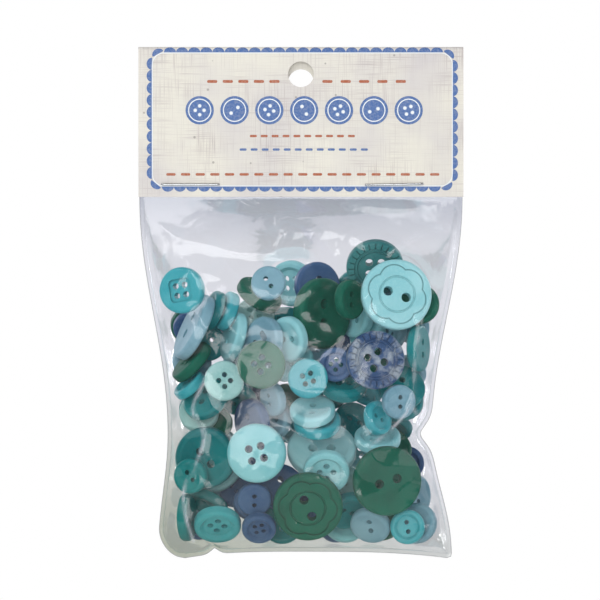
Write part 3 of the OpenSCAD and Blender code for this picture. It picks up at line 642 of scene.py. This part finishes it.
# Handling leaves the film crumpled: shallow dents with sharp ridges where they meet, on both sheets. Uneven
# waves bend the ridges, and the film is calmer towards the card and at the seams.
dent_seed, dent_count = 5, 70
dents_from, dents_to = (-36, -104), (36, -26)
dent_slope = 0.1
long_wave, short_wave = 1.6, 0.8
calm_z, calm_h, calm_share = -36, 16, 0.2
seam_calm = 2
dents = np.random.default_rng(dent_seed).uniform(dents_from, dents_to, (dent_count, 2))
bent_x = x_of + long_wave * np.sin(0.45 * z_of) + short_wave * np.sin(1.1 * z_of + 0.5 * x_of)
bent_z = z_of + long_wave * np.sin(0.4 * x_of + 1) + short_wave * np.sin(0.9 * x_of - 0.6 * z_of)
apart = np.hypot(bent_x[..., None] - dents[:, 0], bent_z[..., None] - dents[:, 1]).min(axis=2)
crumple = dent_slope * apart * np.clip((calm_z - z_of) / calm_h, calm_share, 1)
# Over the middle left of the pile the front film lies flat, so that it shows the lamp as one broad sheen
flat_x, flat_z, flat_w, flat_h, flat_share = -8, -69, 11, 9, 0.85
flat = flat_share * np.exp(-(((x_of - flat_x) / flat_w) ** 2) - ((z_of - flat_z) / flat_h) ** 2)
front_depth = front_depth - crumple * (1 - flat) * np.clip(-front_depth / seam_calm, 0, 1)
back_depth = back_depth + crumple[:, ::-1] * np.clip(back_depth / seam_calm, 0, 1)

# Creases that stand out from the front film: width, height and how far the fold has whitened the film, a
# whitening that also paints in the crease's highlight, then the places (x, z) that each runs through
creases = (
    (0.9, 0.5, 0.3, (-34, -33), (-30.5, -32.5), (-26.5, -35.5), (-20, -36.5), (-13, -38.5), (-5, -38.5)),
    (0.7, 0.5, 0.3, (-4.5, -29), (-5.2, -32.5), (-3, -34), (3, -33.6), (9.7, -34), (13.4, -36)),
    (0.7, 0.5, 0.2, (-3, -34), (-5.5, -38)),
    (0.7, 0.4, 0.2, (3, -33.6), (1, -37), (2, -40)),
    (0.7, 0.4, 0.2, (9.7, -34), (8, -37.5)),
    (0.7, 0.5, 0.2, (14, -28), (22.5, -29.2), (34, -28)),
    (0.8, 0.6, 0.5, (20, -38), (23, -35.5), (29, -33), (32.4, -32.6), (33.4, -38.5), (30.6, -59)),
    (0.8, 0.6, 0.7, (25.8, -53), (24.3, -64), (24.2, -71), (20, -76), (14.8, -80)),
    (0.7, 0.5, 0.5, (23.8, -71), (27.5, -78.5), (28.5, -83)),
    (0.7, 0.5, 0.3, (-32, -44), (-29, -58), (-26.5, -70)),
    (0.8, 0.6, 0.7, (-21, -66.5), (-24, -72.7), (-20.2, -77.2), (-22.5, -84), (-25.5, -89), (-25, -95),
     (-23.1, -100.5)),
    (0.7, 0.4, 0.1, (-16, -60), (-12, -67), (-13.5, -74)),
    (0.7, 0.4, 0, (-4, -66), (1, -69), (8, -68)),
    (0.7, 0.4, 0.1, (-6, -75), (2, -78), (5, -84)),
    (0.7, 0.4, 0, (12, -56), (8, -61), (10, -66)),
    (0.8, 0.5, 0.1, (28.5, -97), (24, -99.5), (18, -101)),
    (0.7, 0.4, 0, (-15, -95), (-6, -97.5), (4, -96.5)),
)
whitened_highlight_w = 0.36
crease_calm = 1.5


def rounded(run):
    # A run of places with its corners cut twice
    run = [np.array(place) for place in run]
    for cut in range(2):
        between = []
        for a, b in zip(run, run[1:]):
            between += [0.75 * a + 0.25 * b, 0.25 * a + 0.75 * b]
        run = [run[0], *between, run[-1]]
    return run


seam_ease = np.clip(-front_depth / crease_calm, 0, 1)
whitened_and_highlit = np.zeros(x_of.shape)
for width, height, whiteness_and_highlight, *run in creases:
    run = rounded(run)
    away = np.full(x_of.shape, float(nothing_near))
    for (x0, z0), (x1, z1) in zip(run, run[1:]):
        share = ((x_of - x0) * (x1 - x0) + (z_of - z0) * (z1 - z0)) / ((x1 - x0) ** 2 + (z1 - z0) ** 2)
        share = np.clip(share, 0, 1)
        away = np.minimum(away, np.hypot(x_of - x0 - share * (x1 - x0), z_of - z0 - share * (z1 - z0)))
    front_depth = front_depth - height * seam_ease * np.exp(-away / width)
    # Whitening along each crease, which also stands in as painted highlight
    whitened_and_highlit = np.maximum(whitened_and_highlit, whiteness_and_highlight * np.exp(-((away / whitened_highlight_w) ** 2)))

# The hem stands square to the seam, down the left side, along the bottom and up the right side, and ends in a
# narrow bead of molten film
bead_w = 0.16
weld = 0.06
merged_within = 0.002
seam = np.concatenate([
    np.stack([x_of[:, 0], z_of[:, 0]], 1),
    np.stack([x_of[-1, 1:-1], z_of[-1, 1:-1]], 1),
    np.stack([x_of[::-1, -1], z_of[::-1, -1]], 1),
])
along = np.vstack([seam[1:2] - seam[:1], seam[2:] - seam[:-2], seam[-1:] - seam[-2:-1]])
hem = seam + hem_w * np.stack([along[:, 1], -along[:, 0]], 1) / np.linalg.norm(along, axis=1)[:, None]
square = (hem - seam) / hem_w


def hemmed(grid, ring):
    # The grid of the film's points with one more ring round the sides and the bottom
    left, end, right = ring[:rows], ring[rows - 1 : rows + columns - 2], ring[rows + columns - 3 :][::-1]
    grid = np.pad(grid, ((0, 1), (1, 1)))
    grid[-1] = np.pad(end, (grid.shape[1] - len(end)) // 2, mode="edge")
    grid[:, 0] = np.pad(left, (0, len(grid) - rows), mode="edge")
    grid[:, -1] = np.pad(right, (0, len(grid) - rows), mode="edge")
    return grid


for reach in (hem_w - bead_w, hem_w):
    x_of = hemmed(x_of, seam[:, 0] + reach * square[:, 0])
    z_of = hemmed(z_of, seam[:, 1] + reach * square[:, 1])

# Clear polythene lets nearly all light through, with a faint tint, and mirrors the lamps softly, more so at a
# slant. Just below the card, where it is gathered, it is painted greyer as a painted shadow of the card, and
# towards the lower left corner it is painted greyer as painted shade. It is milky along its creases, where
# folding whitens the film, and this whitening also stands in as painted highlight along the crease ridges. Each
# film: its tint, its painted shade tone at that corner, and how milky it is all over.
ripple_w, ripple_h = 5 * mm, 0.6 * mm
crease_break = 3.5 * mm
# Painted shadow of the card: the film is painted greyer from this height down to that one
card_shadow_top, card_shadow_end = -27 * mm, -37 * mm
# Painted shade: the film turns greyer towards the lower left corner, along this lean, between these heights
corner_shade_lean, corner_shade_from, corner_shade_to = 0.5, -72 * mm, -116 * mm
films = {}
for name, tint, corner_shade_tone, haze in (
    ("front", "#fbfbfd", "#f2f2ea", 0.006),
    ("back", "#e4e5eb", "#b9beb5", 0.02),
    ("edge", "#d6d7d8", "#c9cbc7", 0.12),
):
    film = bpy.data.materials.new(name + "_clear_polythene")
    film.use_nodes = True
    tree = film.node_tree
    tree.nodes.clear()
    where = node(tree, "ShaderNodeTexCoord").outputs["Object"]
    ripple = {"Vector": where, "Scale": 1 / ripple_w, "Detail": 2, "Distortion": 0.8}
    ripple = node(tree, "ShaderNodeTexNoise", ripple)
    ripple = node(tree, "ShaderNodeBump", {"Height": ripple.outputs[0], "Strength": 0.15, "Distance": ripple_h})
    gleam = node(tree, "ShaderNodeFresnel", {"IOR": 1.5, "Normal": ripple.outputs[0]})
    gleam = node(tree, "ShaderNodeMapRange", {0: gleam.outputs[0], 1: 0.04, 2: 1, 3: 0.042, 4: 0.3})
    place = node(tree, "ShaderNodeSeparateXYZ", {0: where})
    # Painted shade, greyer towards the lower left corner
    corner = {0: place.outputs["X"], 1: corner_shade_lean, 2: place.outputs["Z"]}
    corner = node(tree, "ShaderNodeMath", corner, operation="MULTIPLY_ADD")
    low = node(tree, "ShaderNodeMapRange", {0: corner.outputs[0], 1: corner_shade_from, 2: corner_shade_to, 3: 0, 4: 1})
    tone = {0: low.outputs[0], 6: linear(tint), 7: linear(corner_shade_tone)}
    tone = node(tree, "ShaderNodeMix", tone, data_type="RGBA")
    # Painted shadow of the card: the film just below the card is painted greyer
    card_shadow = {0: place.outputs["Z"], 1: card_shadow_top, 2: card_shadow_end, 3: 0.45, 4: 0}
    card_shadow = node(tree, "ShaderNodeMapRange", card_shadow)
    tone = {0: card_shadow.outputs[0], 6: tone.outputs[2], 7: linear("#c3c7d2")}
    tone = node(tree, "ShaderNodeMix", tone, data_type="RGBA")
    clear = node(tree, "ShaderNodeBsdfTransparent", {"Color": tone.outputs[2]})
    milk = node(tree, "ShaderNodeBsdfDiffuse", {"Color": linear("#eceef6")})
    # The creases' whitening, which also stands in as painted highlight along them
    crease = node(tree, "ShaderNodeAttribute", attribute_name="crease")
    broken = node(tree, "ShaderNodeTexNoise", {"Vector": where, "Scale": 1 / crease_break, "Detail": 3})
    broken = node(tree, "ShaderNodeMapRange", {0: broken.outputs[0], 1: 0.38, 2: 0.62, 3: 0.05, 4: 0.6})
    milky = {0: crease.outputs["Fac"], 1: broken.outputs[0], 2: haze}
    milky = node(tree, "ShaderNodeMath", milky, operation="MULTIPLY_ADD")
    cloudy = node(tree, "ShaderNodeMixShader", {0: milky.outputs[0], 1: clear.outputs[0], 2: milk.outputs[0]})
    gloss = {"Color": (1, 1, 1, 1), "Roughness": 0.11, "Normal": ripple.outputs[0]}
    gloss = node(tree, "ShaderNodeBsdfGlossy", gloss)
    skin = node(tree, "ShaderNodeMixShader", {0: gleam.outputs[0], 1: cloudy.outputs[0], 2: gloss.outputs[0]})
    node(tree, "ShaderNodeOutputMaterial", {"Surface": skin.outputs[0]})
    films[name] = film

# Both sheets are grids laid on those points, welded at the hem. The bead round them is the edge film.
sheets = []
for name, depth, side, creases_whitened_and_highlit in (
    ("front", front_depth, -1, whitened_and_highlit),
    ("back", back_depth, 1, np.zeros_like(whitened_and_highlit)),
):
    depth = depth.copy()
    depth[:, 0] = depth[:, -1] = depth[-1, :] = side * weld
    depth = np.pad(depth, ((0, 1), (1, 1)), constant_values=side * weld)
    depth = np.pad(depth, ((0, 1), (1, 1)))
    bpy.ops.object.select_all(action="DESELECT")
    bpy.ops.mesh.primitive_grid_add(x_subdivisions=columns + 2, y_subdivisions=rows + 1, size=2)
    sheet = bpy.context.object
    sheet.name = name + "_sheet"
    places = np.stack([x_of[::-1], depth[::-1], z_of[::-1]], axis=2).reshape(-1, 3) * mm
    sheet.data.vertices.foreach_set("co", places.ravel())
    sheet.data.update()
    marks = sheet.data.attributes.new("crease", "FLOAT", "POINT")
    marks.data.foreach_set("value", np.pad(creases_whitened_and_highlit, ((0, 2), (2, 2)))[::-1].ravel())
    sheet.data.materials.append(films[name])
    sheet.data.materials.append(films["edge"])
    bead = np.zeros((rows + 1, columns + 2), dtype=np.int32)
    bead[0] = bead[:, 0] = bead[:, -1] = 1
    sheet.data.polygons.foreach_set("material_index", bead.ravel())
    sheets.append(sheet)
# The back sheet, made last, is turned to face backwards, and the two are joined along the hem
bpy.ops.object.mode_set(mode="EDIT")
bpy.ops.mesh.select_all(action="SELECT")
bpy.ops.mesh.flip_normals()
bpy.ops.object.mode_set(mode="OBJECT")
bpy.ops.object.select_all(action="DESELECT")
for sheet in sheets:
    sheet.select_set(True)
bpy.context.view_layer.objects.active = sheets[0]
bpy.ops.object.join()
film_bag = bpy.context.object
film_bag.name = "film_bag"
bpy.ops.object.mode_set(mode="EDIT")
bpy.ops.mesh.select_all(action="SELECT")
bpy.ops.mesh.remove_doubles(threshold=merged_within * mm)
bpy.ops.object.mode_set(mode="OBJECT")
bpy.ops.object.shade_smooth()

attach(film_bag, "root")
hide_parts("bag")
